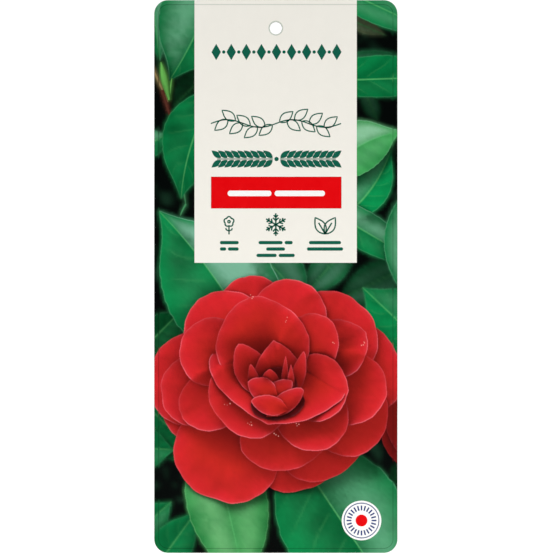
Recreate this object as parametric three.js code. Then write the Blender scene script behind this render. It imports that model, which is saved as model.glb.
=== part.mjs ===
// A hanging plant label: one thin sheet of stiff plastic, die-cut as an upright rectangle with
// round corners, and punched near its top edge with a round hole for a loop or a hook.
//
// Millimetres, +Z up. The origin is the middle of the punched hole, halfway through the sheet.
// The label hangs straight down from it, with its printed face towards -Y and its back to +Y.

import * as THREE from "three";

// Driving dimensions
const WIDTH = 70;
const HEIGHT = 159;
const THICKNESS = 0.5;
const CORNER_RADIUS = 4;
const HOLE_DIAMETER = 3.5;
const HOLE_BELOW_TOP = 8.1; // from the top edge down to the hole's middle
const EDGE_BREAK = 0.05; // the small round that the cutting die leaves along every edge

// How finely the round stretches are drawn
const ARC_SEGMENTS = 12;
const EDGE_SEGMENTS = 2;

const QUARTER_TURN = Math.PI / 2;

const top = HOLE_BELOW_TOP;
const bottom = top - HEIGHT;
const right = WIDTH / 2;
const left = -right;

// The outline of a rectangle with round corners, drawn anticlockwise from its lower left arc.
function roundedRectangle(x0, y0, x1, y1, radius) {
  const outline = new THREE.Shape();
  outline.absarc(x0 + radius, y0 + radius, radius, 2 * QUARTER_TURN, 3 * QUARTER_TURN);
  outline.absarc(x1 - radius, y0 + radius, radius, 3 * QUARTER_TURN, 4 * QUARTER_TURN);
  outline.absarc(x1 - radius, y1 - radius, radius, 0, QUARTER_TURN);
  outline.absarc(x0 + radius, y1 - radius, radius, QUARTER_TURN, 2 * QUARTER_TURN);
  outline.closePath();
  return outline;
}

// The punched hole, a full circle round the origin.
function punchedHole(diameter) {
  const hole = new THREE.Path();
  hole.absarc(0, 0, diameter / 2, 0, 4 * QUARTER_TURN, true);
  return hole;
}

// The sheet: the outline with its hole, drawn out to the sheet's thickness. The rounding of
// the edges is taken off inside the stated sizes, so width, height and hole stay exact.
function labelSheet() {
  const outline = roundedRectangle(left, bottom, right, top, CORNER_RADIUS);
  outline.holes.push(punchedHole(HOLE_DIAMETER));
  const geometry = new THREE.ExtrudeGeometry(outline, {
    depth: THICKNESS - 2 * EDGE_BREAK,
    curveSegments: ARC_SEGMENTS,
    bevelEnabled: true,
    bevelThickness: EDGE_BREAK,
    bevelSize: EDGE_BREAK,
    bevelOffset: -EDGE_BREAK,
    bevelSegments: EDGE_SEGMENTS,
  });
  const plastic = new THREE.MeshStandardMaterial({
    color: 0xf4f5f1,
    roughness: 0.42,
    metalness: 0,
  });
  const sheet = new THREE.Mesh(geometry, plastic);
  sheet.name = "label_sheet";
  // Drawn lying on its back, then stood up with its drawn front towards -Y.
  sheet.rotation.x = QUARTER_TURN;
  sheet.position.y = THICKNESS / 2 - EDGE_BREAK;
  return sheet;
}

const plantLabel = new THREE.Group();
plantLabel.name = "plant_label";
plantLabel.add(labelSheet());

export default plantLabel;
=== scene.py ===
"""Hanging plant label: a die-cut sheet of white plastic, printed with a camellia in full bloom.

The label hangs upright from the hole near its top edge. Its picture is made here, in three steps:
a bloom and its leaves are modelled in full relief, a Geometry Nodes probe looks at them straight
on, and what it sees is shaded into ink colours, which the front of the flat sheet carries at its
vertices. All other print is thin films of ink in clean outlines. Everything lies in the frame of
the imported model: metres, +Z up, the printed face towards -Y and the middle of the hole at zero.
"""
import logging
import math
from dataclasses import dataclass, field, replace
from enum import Enum
from typing import Iterable, Sequence, Union

import bpy
import numpy as np
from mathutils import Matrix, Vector
from mathutils.geometry import delaunay_2d_cdt


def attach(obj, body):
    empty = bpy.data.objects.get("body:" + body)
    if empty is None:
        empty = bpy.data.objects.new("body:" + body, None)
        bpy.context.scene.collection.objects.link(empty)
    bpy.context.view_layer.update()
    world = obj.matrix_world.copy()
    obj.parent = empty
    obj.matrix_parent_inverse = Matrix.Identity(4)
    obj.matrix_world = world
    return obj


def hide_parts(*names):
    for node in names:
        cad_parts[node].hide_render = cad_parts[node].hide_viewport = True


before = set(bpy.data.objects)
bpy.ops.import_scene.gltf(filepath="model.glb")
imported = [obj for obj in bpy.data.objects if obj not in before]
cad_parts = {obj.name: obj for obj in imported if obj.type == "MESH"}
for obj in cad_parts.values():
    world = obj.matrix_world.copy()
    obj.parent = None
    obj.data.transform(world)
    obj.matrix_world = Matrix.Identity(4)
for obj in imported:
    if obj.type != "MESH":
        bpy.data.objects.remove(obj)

log = logging.getLogger("plant_label")

MM = 0.001
BODY = "root"
SHEET_NODE = "label_sheet"
Colour = tuple[float, float, float]
Point = tuple[float, float]


# ------------------------------------------------------------------ the photograph's frame
PHOTO_SIZE = 553.0  # pixels, both ways
MIDDLE_COLUMN = 275.85  # where the label's middle line stands
LABEL_HEIGHT = 159.0  # millimetres, which fill the photograph's height
HOLE_BELOW_TOP = 8.1
PITCH = LABEL_HEIGHT / PHOTO_SIZE  # millimetres in a pixel


def at(column: float, row: float) -> Point:
    """Turn a place in the photograph into a place on the label.

    Args:
        column: Pixels from the left edge.
        row: Pixels from the top edge.

    Returns:
        Millimetres right of and above the middle of the hole.
    """
    return (column - MIDDLE_COLUMN) * PITCH, HOLE_BELOW_TOP - row * PITCH


def linear(colour: Sequence[float]) -> Colour:
    """Turn a display colour into linear light.

    Args:
        colour: Red, green and blue, 0 to 255.

    Returns:
        The same as linear light, 0 to 1.
    """
    out = []
    for value in colour:
        v = value / 255.0
        out.append(v / 12.92 if v <= 0.04045 else ((v + 0.055) / 1.055) ** 2.4)
    return tuple(out)


def smooth(low: float, high: float, value: np.ndarray) -> np.ndarray:
    """Rise smoothly from 0 at low to 1 at high."""
    t = np.clip((value - low) / (high - low), 0.0, 1.0)
    return t * t * (3.0 - 2.0 * t)


def tinted(base: np.ndarray, top: Sequence[float], share: np.ndarray) -> np.ndarray:
    """Lay a colour over others, by its share at each place."""
    return base * (1 - share) + np.array(top) * share


def unit(vectors: np.ndarray) -> np.ndarray:
    """Scale vectors to length 1 along the last axis."""
    return vectors / np.maximum(np.linalg.norm(vectors, axis=-1, keepdims=True), 1e-9)


def heading(start: Point, end: Point) -> tuple[float, np.ndarray, np.ndarray]:
    """Measure the run from one place to another.

    Args:
        start: Where it starts.
        end: Where it ends.

    Returns:
        Its length, its direction, and the direction to its left.
    """
    run = np.array(end) - np.array(start)
    length = float(np.hypot(*run))
    ahead = run / length
    return length, ahead, np.array([-ahead[1], ahead[0]])


class Noise:
    """Smooth value noise over a plane, the same each run."""

    SIZE = 128  # cells each way, after which the lattice repeats
    SHIFT = (61.3, 37.7)  # cells from the lattice's corner to the plane's middle

    def __init__(self, seed: int, cell: float) -> None:
        """Draw the lattice.

        Args:
            seed: Which noise it is.
            cell: Size of one cell, in the units of the plane.
        """
        self.lattice = np.random.default_rng(seed).random((self.SIZE, self.SIZE))
        self.cell = cell

    def __call__(self, x: np.ndarray, y: np.ndarray) -> np.ndarray:
        """Read the noise.

        Args:
            x: How far right each place is.
            y: How far up.

        Returns:
            The noise there, 0 to 1.
        """
        u, v = x / self.cell + self.SHIFT[0], y / self.cell + self.SHIFT[1]
        i, j = np.floor(u).astype(int), np.floor(v).astype(int)
        a, b = u - i, v - j
        a, b = a * a * (3 - 2 * a), b * b * (3 - 2 * b)
        i0, i1, j0, j1 = i % self.SIZE, (i + 1) % self.SIZE, j % self.SIZE, (j + 1) % self.SIZE
        low = self.lattice[i0, j0] * (1 - a) + self.lattice[i1, j0] * a
        high = self.lattice[i0, j1] * (1 - a) + self.lattice[i1, j1] * a
        return low * (1 - b) + high * b


# ------------------------------------------------------------------ node trees
class Wire:
    """A node's output with arithmetic: an expression on values adds its Math nodes."""

    def __init__(self, graph: "Graph", socket: bpy.types.NodeSocket) -> None:
        """Keep the tree and the socket that this wire starts from."""
        self.graph, self.socket = graph, socket

    def other(self, name: Union[str, int]) -> "Wire":
        """Return another output of the same node."""
        return Wire(self.graph, Graph.pick(self.socket.node.outputs, name))

    def math(self, operation: str, *values: Union["Wire", float]) -> "Wire":
        """Add one Math node that starts from this wire."""
        inputs = {0: self} | {i + 1: v for i, v in enumerate(values)}
        return self.graph.node("ShaderNodeMath", {"operation": operation}, inputs)

    def __add__(self, other: Union["Wire", float]) -> "Wire":
        """Add."""
        return self.math("ADD", other)

    def __mul__(self, other: Union["Wire", float]) -> "Wire":
        """Multiply."""
        return self.math("MULTIPLY", other)

    def __sub__(self, other: Union["Wire", float]) -> "Wire":
        """Subtract."""
        return self.math("SUBTRACT", other)

    def __truediv__(self, other: Union["Wire", float]) -> "Wire":
        """Divide."""
        return self.math("DIVIDE", other)

    def __rsub__(self, other: float) -> "Wire":
        """Subtract this wire from a number."""
        return self * -1.0 + other

    __radd__ = __add__
    __rmul__ = __mul__


Given = Union[Wire, float, int, bool, str, tuple, bpy.types.ID, None]


class Graph:
    """A node tree, to which one method adds any node."""

    def __init__(self, tree: bpy.types.NodeTree) -> None:
        """Start on a tree and clear it."""
        self.tree = tree
        self.tree.nodes.clear()

    @staticmethod
    def pick(sockets: Iterable[bpy.types.NodeSocket], key: Union[str, int]) -> bpy.types.NodeSocket:
        """Find a socket that is in use, by its name or its place."""
        used = [s for s in sockets if s.enabled]
        return used[key] if isinstance(key, int) else next(s for s in used if s.name == key)

    def node(self, kind: str, settings: dict | None = None,
             inputs: dict[Union[str, int], Given] | None = None,
             output: Union[str, int] = 0) -> Wire:
        """Add any node.

        Args:
            kind: The node's type.
            settings: Its own settings, set before its sockets; "stops" are a ramp's stops.
            inputs: Values or wires for its sockets, by name or place.
            output: Which output to return.

        Returns:
            The wire that starts from that output.
        """
        made = self.tree.nodes.new(kind)
        for name, value in (settings or {}).items():
            if name == "stops":
                ramp = made.color_ramp
                while len(ramp.elements) < len(value):
                    ramp.elements.new(0.5)
                for element, (place, shade) in zip(ramp.elements, value):
                    element.position, element.color = place, (*shade, 1.0)
            else:
                setattr(made, name, value)
        for key, value in (inputs or {}).items():
            socket = self.pick(made.inputs, key)
            if isinstance(value, Wire):
                self.tree.links.new(value.socket, socket)
            else:
                socket.default_value = value
        outputs = [s for s in made.outputs if s.enabled]
        return Wire(self, self.pick(made.outputs, output)) if outputs else Wire(self, None)

    def place(self) -> Wire:
        """Return the Object coordinates, which are the label's own frame."""
        return self.node("ShaderNodeTexCoord", None, None, "Object")

    def noise(self, place: Wire, scale: float, detail: float, roughness: float = 0.5) -> Wire:
        """Add a cloudy pattern in space."""
        return self.node("ShaderNodeTexNoise", {"noise_dimensions": "3D"},
                         {"Vector": place, "Scale": scale, "Detail": detail, "Roughness": roughness})


class GeometryTree(Graph):
    """A Geometry Nodes tree with named inputs for its sizes."""

    def __init__(self, name: str, sizes: dict[str, tuple[str, Given]]) -> None:
        """Make the tree and its group inputs.

        Args:
            name: The tree's name.
            sizes: Each input's socket type and value, by the input's name.
        """
        super().__init__(bpy.data.node_groups.new(name, "GeometryNodeTree"))
        face = self.tree.interface
        face.new_socket("Geometry", in_out="INPUT", socket_type="NodeSocketGeometry")
        face.new_socket("Geometry", in_out="OUTPUT", socket_type="NodeSocketGeometry")
        self.sizes = {}
        for label, (kind, value) in sizes.items():
            made = face.new_socket(label, in_out="INPUT", socket_type="NodeSocket" + kind)
            self.sizes[made.identifier] = value
        self.given = self.node("NodeGroupInput")

    def size(self, name: str) -> Wire:
        """Return the wire of a named input."""
        return self.given.other(name)

    def vector(self, name: str) -> Wire:
        """Read a vector attribute of the geometry."""
        return self.node("GeometryNodeInputNamedAttribute", {"data_type": "FLOAT_VECTOR"}, {"Name": name})

    def end(self, geometry: Wire) -> None:
        """Send the finished geometry out of the tree."""
        self.node("NodeGroupOutput", None, {0: geometry})

    def put_on(self, thing: bpy.types.Object) -> bpy.types.Modifier:
        """Add the tree to an object, with its inputs set by their identifiers.

        Args:
            thing: The object.

        Returns:
            The modifier that carries the tree.
        """
        modifier = thing.modifiers.new(self.tree.name, "NODES")
        modifier.node_group = self.tree
        for identifier, value in self.sizes.items():
            modifier[identifier] = value
        return modifier


def linked(name: str, data: bpy.types.ID) -> bpy.types.Object:
    """Make an object at the origin and link it to the scene.

    Args:
        name: Its name.
        data: Its mesh, light or camera.

    Returns:
        The object.
    """
    thing = bpy.data.objects.new(name, data)
    bpy.context.scene.collection.objects.link(thing)
    return thing


def mesh_object(name: str, vertices: Sequence[Sequence[float]], faces: Sequence[Sequence[int]],
                edges: Sequence[tuple[int, int]] = ()) -> bpy.types.Object:
    """Make a mesh object at the origin.

    Args:
        name: Its name.
        vertices: Its points in metres.
        faces: The points of each face.
        edges: Loose edges, where it has any.

    Returns:
        The object.
    """
    mesh = bpy.data.meshes.new(name)
    mesh.from_pydata([tuple(map(float, v)) for v in vertices], edges, [tuple(map(int, f)) for f in faces])
    return linked(name, mesh)


def drop(thing: bpy.types.Object) -> None:
    """Delete an object that has done its work, with its mesh.

    Args:
        thing: The object.
    """
    mesh = thing.data
    bpy.data.objects.remove(thing)
    bpy.data.meshes.remove(mesh)


# ------------------------------------------------------------------ relief that is pictured
@dataclass
class Blade:
    """One petal or leaf as a grid: rows from base to tip, columns from side to side."""

    places: np.ndarray  # rows, columns, xyz in millimetres: right, up, towards the viewer
    along: np.ndarray  # 0 at the base, 1 at the tip
    across: np.ndarray  # -1 to 1
    rim: np.ndarray  # millimetres to the blade's edge
    length: float
    finish: "Finish"
    tone: float
    aside: float | np.ndarray = 0.0  # millimetres from the middle line
    sunk: float = 0.0  # share of its sides that dips into what lies under it


class Bed:
    """The heights of all blades laid so far, on which the next one comes to rest."""

    GAP = 0.30  # millimetres between a blade and what it rests on
    CELL = 0.25
    LEFT, LOW = 40.0, 155.0  # millimetres from its corner to the hole
    SHAPE = (680, 320)  # cells up and across
    BARE = -200.0  # its height where nothing is laid
    ROUNDS = 18  # how often a blade's lift is evened out
    FINER = 4  # steps between two points of a blade that is added

    def __init__(self) -> None:
        """Start with nothing laid."""
        self.height = np.full(self.SHAPE, self.BARE)

    def _cells(self, places: np.ndarray) -> tuple[np.ndarray, np.ndarray]:
        """Find the cell under each place.

        Args:
            places: The places, in millimetres.

        Returns:
            Their rows and their columns.
        """
        rows = np.clip(((places[..., 1] + self.LOW) / self.CELL).astype(int), 0, self.SHAPE[0] - 1)
        columns = np.clip(((places[..., 0] + self.LEFT) / self.CELL).astype(int), 0, self.SHAPE[1] - 1)
        return rows, columns

    def lay(self, blade: "Blade") -> None:
        """Lift a blade clear of what lies under it, and add it to the bed.

        Args:
            blade: The blade, whose places are changed.
        """
        places = blade.places
        tops = self.height
        for axis in (0, 1):
            tops = np.maximum(tops, np.maximum(np.roll(tops, 1, axis), np.roll(tops, -1, axis)))
        need = np.maximum(tops[self._cells(places)] + self.GAP - places[..., 2], 0.0)
        if blade.sunk:
            need = need * smooth(1.0, 1.0 - blade.sunk, np.abs(blade.across))
        lift = need
        for _ in range(self.ROUNDS):
            wide = np.pad(lift, 1, mode="edge")
            mean = (wide[:-2, 1:-1] + wide[2:, 1:-1] + wide[1:-1, :-2] + wide[1:-1, 2:]) / 4
            lift = np.maximum(mean, need)
        places[..., 2] += lift
        fine = places
        for axis in (0, 1):
            steps = np.linspace(0, fine.shape[axis] - 1, fine.shape[axis] * self.FINER)
            low = np.minimum(steps.astype(int), fine.shape[axis] - 2)
            share = (steps - low).reshape((-1, 1, 1) if axis == 0 else (1, -1, 1))
            fine = np.take(fine, low, axis=axis) * (1 - share) + np.take(fine, low + 1, axis=axis) * share
        np.maximum.at(self.height, self._cells(fine), fine[..., 2])


def laid(start: Point, ahead: np.ndarray, left: np.ndarray, forth: np.ndarray,
         side: np.ndarray) -> tuple[np.ndarray, np.ndarray]:
    """Lay a flat grid down along a run."""
    return tuple(start[k] + ahead[k] * forth + left[k] * side for k in (0, 1))


@dataclass
class Petal:
    """A broad petal that climbs from the bloom's foot and opens towards its rim."""

    middle: Point  # of its broad round end
    reach: float  # from there to its tip, in pixels of the photograph
    half: float  # from there to either side, likewise
    climb: float = 8.0  # millimetres that the rim stands in front of the foot
    cup: float = 3.0  # millimetres that its sides stand in front of its middle
    roll: float = 0.0  # degrees about its run; positive turns its left side away
    curl: float = -1.0  # millimetres that the rim turns forward, or back where negative
    point: float = 0.0  # 0 round, 1 pointed
    blunt: float = 0.0  # 1 for a squarer rim
    spread: float = 128.0  # degrees of rim on either side of the tip
    foot: Point = at(272, 392)
    depth: float = -8.0  # of its foot
    shade: float = 1.0  # above 1 the dark of its foot reaches further out
    sunk: float = 0.0  # share of its sides that dips into the petals under it
    tone: float = 1.0
    GRID = (40, 75)  # points from its foot to its rim, and from side to side
    STEEP = 1.5  # above 1 it climbs early and then lies open
    RAGGED = 0.022  # how uneven its rim is
    NOTCH = 0.03  # depth of the dent or the peak at its tip, as a share of its size
    FULL = 11.0  # half width in millimetres from which it has its full waves

    def blade(self, finish: "Finish", seed: int) -> Blade:
        """Shape the petal.

        Args:
            finish: How it turns light into ink.
            seed: Which small waves it has.

        Returns:
            The petal in the picture's frame.
        """
        run, ahead, left = heading(self.foot, self.middle)
        length, half = run + self.reach * PITCH, self.half * PITCH
        end = self.reach * PITCH / length
        chance = np.random.default_rng(seed).random(8) * 2 * math.pi
        s, v = np.meshgrid(np.sin(np.linspace(0, 1, self.GRID[0]) * math.pi / 2),
                           np.linspace(-1, 1, self.GRID[1]), indexing="ij")
        turn = v * math.radians(self.spread)
        shaped = 1.0 + 0.75 * self.point - 0.45 * self.blunt + 0.06 * math.sin(chance[5])
        power = np.where(np.abs(turn) < math.pi / 2, shaped, 1.0)
        forth = np.sign(np.cos(turn)) * np.abs(np.cos(turn)) ** power
        side = np.sign(np.sin(turn)) * np.abs(np.sin(turn)) ** power
        uneven = 1 + self.RAGGED * (np.sin(3 * turn + chance[0]) + 0.7 * np.sin(8 * turn + chance[1]) +
                                    0.4 * np.sin(19 * turn + chance[2])) / 2
        uneven = uneven + self.NOTCH * math.sin(chance[6]) * np.exp(-(turn / 0.14) ** 2)
        forth = length * (1 - end + end * forth * uneven)
        side = half * side * uneven
        reach = np.abs(forth * np.gradient(side, axis=1) - side * np.gradient(forth, axis=1))
        rim = (1 - s) * reach / np.hypot(np.gradient(side, axis=1), np.gradient(forth, axis=1))
        forth, side = forth * s, side * s
        f, g = forth / length, side / half
        x, y = laid(self.foot, ahead, left, forth, side)
        z = self.depth + self.climb * (1 - (1 - np.clip(f, 0, 1)) ** self.STEEP) + self.cup * g ** 2
        z = z + self.curl * smooth(0.50, 1.0, s) ** 1.5 - side * math.tan(math.radians(self.roll))
        small = min(1.0, half / self.FULL)
        z = z + small * s ** 2 * (0.35 * np.sin(2.6 * turn + chance[3]) + 0.20 * np.sin(6 * turn + chance[4]))
        z = z + 1.3 * small * (Noise(seed, 5.0)(x, y) - 0.5) + 0.25 * small * (Noise(seed, 1.6)(x, y) - 0.5)
        z = z - 0.30 * small * np.exp(-(v / 0.10) ** 2) * s
        return Blade(np.stack([x, y, z], axis=-1), s ** self.shade, v, rim, length, finish, self.tone,
                     sunk=self.sunk)


@dataclass
class Leaf:
    """A camellia leaf: a glossy oval blade with a fine point, folded a little along its midrib."""

    base: Point
    tip: Point
    width: float  # millimetres
    depth: float  # millimetres in front of the picture's plane, negative behind it
    finish: "Finish"
    roll: float = 0.0  # degrees about the midrib; positive turns the left side away
    lean: float = 0.0  # millimetres that the tip comes forward
    arch: float = 2.0  # millimetres that the middle stands forward
    sweep: float = 0.0  # millimetres that the midrib bows to the left of its run
    fold: float = 14.0  # degrees that each side lifts from the midrib
    tone: float = 1.0
    GRID = (60, 27)  # points from base to tip, and from side to side
    WAVE = 0.35  # millimetres that its edge waves
    TEETH, TOOTH = 30.0, 0.03  # along each edge, and their depth as a share of the width
    POINT = 0.45  # how much narrower than an oval it ends, as a share of the width

    def _half(self, s: np.ndarray) -> np.ndarray:
        """Measure the leaf from its middle line to its edge.

        Args:
            s: Places along the leaf, 0 to 1.

        Returns:
            The half width at each, in millimetres.
        """
        body = np.sin(math.pi * np.clip(s, 0, 1) ** 0.90) ** 0.92
        teeth = 1.0 + self.TOOTH * ((s * self.TEETH) % 1.0)
        return self.width / 2 * np.clip(body * (1.0 - self.POINT * smooth(0.72, 1.0, s)) * teeth, 0.0, None)

    def blade(self) -> Blade:
        """Lay the leaf's grid along its midrib.

        Returns:
            The leaf in the picture's frame.
        """
        length, ahead, left = heading(self.base, self.tip)
        s = np.sin(np.linspace(0, 1, self.GRID[0]) * math.pi / 2) ** 1.15
        v = np.sin(np.linspace(-1, 1, self.GRID[1]) * math.pi / 2)
        s, v = np.meshgrid(s, v, indexing="ij")
        half, slope = self._half(s), (self._half(s + 0.01) - self._half(s - 0.01)) / (0.02 * length)
        side, rim = half * v, half * (1 - np.abs(v)) / np.sqrt(1 + slope * slope)
        bow = 4 * s * (1 - s)
        roll, fold = math.radians(self.roll), math.radians(self.fold)
        lifted = np.abs(side) * math.tan(fold) * (1 - 0.45 * np.abs(v))
        wave = self.WAVE * np.sin(s * 11 + v * 2) * np.abs(v) ** 2
        flat = side * math.cos(roll) + (lifted + wave) * math.sin(roll)
        out = -side * math.sin(roll) + (lifted + wave) * math.cos(roll)
        x, y = laid(self.base, ahead * length, left, s, flat + self.sweep * bow)
        z = self.depth + out + self.arch * bow + self.lean * (s - 0.5)
        return Blade(np.stack([x, y, z], axis=-1), s, v, rim, length, self.finish, self.tone, np.abs(side))


@dataclass
class Stem:
    """A young twig: a thin round stalk between two places."""

    start: Point
    end: Point
    depth: float
    radius: float
    finish: "Finish"
    swell: float = 0.0  # millimetres that the middle is thicker, for a bud
    GRID = (30, 13)  # points along it, and round the half that is seen

    def blade(self) -> Blade:
        """Lay the half of the stalk that faces the viewer.

        Returns:
            The stalk in the picture's frame.
        """
        length, ahead, left = heading(self.start, self.end)
        s, v = np.meshgrid(*(np.linspace(low, 1, count) for low, count in zip((0, -1), self.GRID)),
                           indexing="ij")
        girth = self.radius * (0.25 + 0.75 * (1 - s ** 4)) + self.swell * np.sin(math.pi * s) ** 1.2
        side, out = girth * np.sin(v * math.pi / 2), girth * np.cos(v * math.pi / 2)
        x, y = laid(self.start, ahead * length, left, s, side)
        rim = girth * (1 - np.abs(v))
        return Blade(np.stack([x, y, self.depth + out], axis=-1), s, v, rim, length, self.finish, 1.0)


class Relief:
    """All blades of the picture in one mesh that rays can be cast at."""

    def __init__(self, blades: list[Blade]) -> None:
        """Join the blades and give the mesh what a ray brings back.

        Args:
            blades: The petals, leaves and stalks, each in its place.
        """
        self.blades = blades
        places, facing, patch, edge, faces = [], [], [], [], []
        start = 0
        for number, blade in enumerate(blades):
            rows, columns = blade.places.shape[:2]
            down = np.gradient(blade.places, axis=0)
            over = np.gradient(blade.places, axis=1)
            places.append(blade.places.reshape(-1, 3))
            facing.append(unit(np.cross(over, down)).reshape(-1, 3))
            tag = np.full(rows * columns, float(number))
            patch.append(np.stack([blade.along.ravel(), blade.across.ravel(), tag], axis=-1))
            aside = np.broadcast_to(blade.aside, (rows, columns)).ravel()
            edge.append(np.stack([blade.rim.ravel(), blade.along.ravel() * blade.length, aside], axis=-1))
            index = start + np.arange(rows * columns).reshape(rows, columns)
            faces.append(np.stack([index[:-1, :-1], index[1:, :-1], index[1:, 1:], index[:-1, 1:]],
                                  axis=-1).reshape(-1, 4))
            start += rows * columns
        self.thing = mesh_object("pictured_relief", np.concatenate(places), np.concatenate(faces))
        for name, values in (("facing", facing), ("patch", patch), ("edge", edge)):
            layer = self.thing.data.attributes.new(name, "FLOAT_VECTOR", "POINT")
            layer.data.foreach_set("vector", np.concatenate(values).astype(np.float32).ravel())


class RayProbe:
    """Casts one ray from each of many points at a relief, through a Geometry Nodes tree."""

    MISS = -1.0
    REACH = 400.0  # millimetres, unless a cast says another

    def __init__(self, relief: Relief, carried: Sequence[str] = ()) -> None:
        """Build the tree.

        Args:
            relief: What the rays are cast at.
            carried: Vector attributes of the relief that a ray brings back.
        """
        self.carried = carried
        tree = GeometryTree("ray_probe", {"Target": ("Object", relief.thing),
                                          "Reach": ("Float", self.REACH)})
        target = tree.node("GeometryNodeObjectInfo", {"transform_space": "ORIGINAL"},
                           {"Object": tree.size("Target")}, "Geometry")
        aim, points = tree.vector("aim"), tree.given
        for name in (*carried, None):
            wanted = tree.vector(name or "facing")
            ray = tree.node("GeometryNodeRaycast", {"data_type": "FLOAT_VECTOR"},
                            {"Target Geometry": target, "Attribute": wanted, "Ray Direction": aim,
                             "Ray Length": tree.size("Reach")})
            if name:
                kind, result = "FLOAT_VECTOR", ray.other("Attribute")
            else:
                kind = "FLOAT"
                result = tree.node("GeometryNodeSwitch", {"input_type": "FLOAT"},
                                   {"Switch": ray, "False": self.MISS, "True": ray.other("Hit Distance")})
            points = tree.node("GeometryNodeStoreNamedAttribute", {"data_type": kind, "domain": "POINT"},
                               {"Geometry": points, "Name": name or "gap", "Value": result})
        tree.end(points)
        self.tree = tree

    def cast(self, starts: np.ndarray, aims: np.ndarray, reach: float = REACH) -> dict[str, np.ndarray]:
        """Cast the rays.

        Args:
            starts: Where each ray starts.
            aims: Its direction.
            reach: How far it goes, in millimetres.

        Returns:
            The gap to what each ray meets, MISS if nothing, and the carried attributes.
        """
        mesh = bpy.data.meshes.new("ray_starts")
        mesh.vertices.add(len(starts))
        mesh.vertices.foreach_set("co", starts.astype(np.float32).ravel())
        aim = mesh.attributes.new("aim", "FLOAT_VECTOR", "POINT")
        aim.data.foreach_set("vector", aims.astype(np.float32).ravel())
        thing = linked("ray_starts", mesh)
        reach_id = next(i for i, v in self.tree.sizes.items() if isinstance(v, float))
        self.tree.sizes[reach_id] = float(reach)
        self.tree.put_on(thing)
        seen = thing.evaluated_get(bpy.context.evaluated_depsgraph_get()).data.attributes
        out = {"gap": np.zeros(len(starts), np.float32)}
        seen["gap"].data.foreach_get("value", out["gap"])
        for name in self.carried:
            out[name] = np.zeros(len(starts) * 3, np.float32)
            seen[name].data.foreach_get("vector", out[name])
            out[name] = out[name].reshape(-1, 3)
        drop(thing)
        return out


@dataclass
class Look:
    """What the probe saw of one kind of blade, at the places where it is on top."""

    x: np.ndarray
    y: np.ndarray
    facing: np.ndarray
    along: np.ndarray
    across: np.ndarray
    rim: np.ndarray
    run: np.ndarray  # millimetres along the blade
    aside: np.ndarray  # millimetres from its middle line
    number: np.ndarray
    tone: np.ndarray
    open_sky: np.ndarray  # 0 deep in a fold, 1 in the open
    sun: np.ndarray  # 0 in shadow, 1 in the light


class Finish:
    """How one kind of blade turns light into ink."""

    SUN = unit(np.array([-0.28, 0.62, 0.73]))  # towards the pictured sun: right, up, to the viewer

    def ink(self, look: Look) -> np.ndarray:
        """Return the ink's linear colour at each place."""
        raise NotImplementedError


@dataclass(frozen=True)
class PetalFinish(Finish):
    """Deep red velvet: brownish in the folds, crimson in the light, with a fine pale rim."""

    deep: Colour = linear((118, 16, 13))
    body: Colour = linear((194, 38, 30))
    bright: Colour = linear((211, 36, 44))
    rim: Colour = linear((242, 120, 132))

    def ink(self, look: Look) -> np.ndarray:
        """Shade the petals.

        Args:
            look: What the probe saw of them.

        Returns:
            The ink's linear colour at each place.
        """
        # brownish at its foot, red on the blade, and bright in patches of light towards its rim
        colour = tinted(np.array(self.deep), self.body, smooth(-0.12, 0.52, look.along)[:, None])
        cloud = Noise(9, 2.5)(look.x + look.number * 5, look.y)
        lit = smooth(0.35, 1.05, look.along) * (0.38 + 0.62 * look.sun) + 0.25 * (cloud - 0.5)
        colour = tinted(colour, self.bright, (np.clip(lit, 0, 1) ** 1.3)[:, None])
        # fine streaks that run out from the foot, and a velvety grain
        streaks = Noise(8, 0.045)(look.across + look.number * 7, look.along * 0.10)
        grain = Noise(10, 0.16)(look.x, look.y)
        colour = colour * (0.92 + 0.08 * streaks + 0.07 * grain)[:, None]
        light = (0.01 + 0.99 * look.open_sky ** 1.9) * (0.68 + 0.42 * look.sun) * look.tone
        # the thin rim glows, most where it faces up and to the left
        thin = smooth(0.34, 0.06, look.rim) * smooth(0.45, 0.8, look.along)
        soft = smooth(1.6, 0.2, look.rim) * 0.07
        up = 0.45 + 0.55 * smooth(-0.2, 0.5, look.facing[:, 1] - 0.3 * look.facing[:, 0])
        glow = np.clip(thin * up * (0.35 + 0.65 * look.sun) * 0.60 + soft * look.sun, 0, 1)[:, None]
        return tinted(colour, self.rim, glow) * light[:, None]


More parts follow.
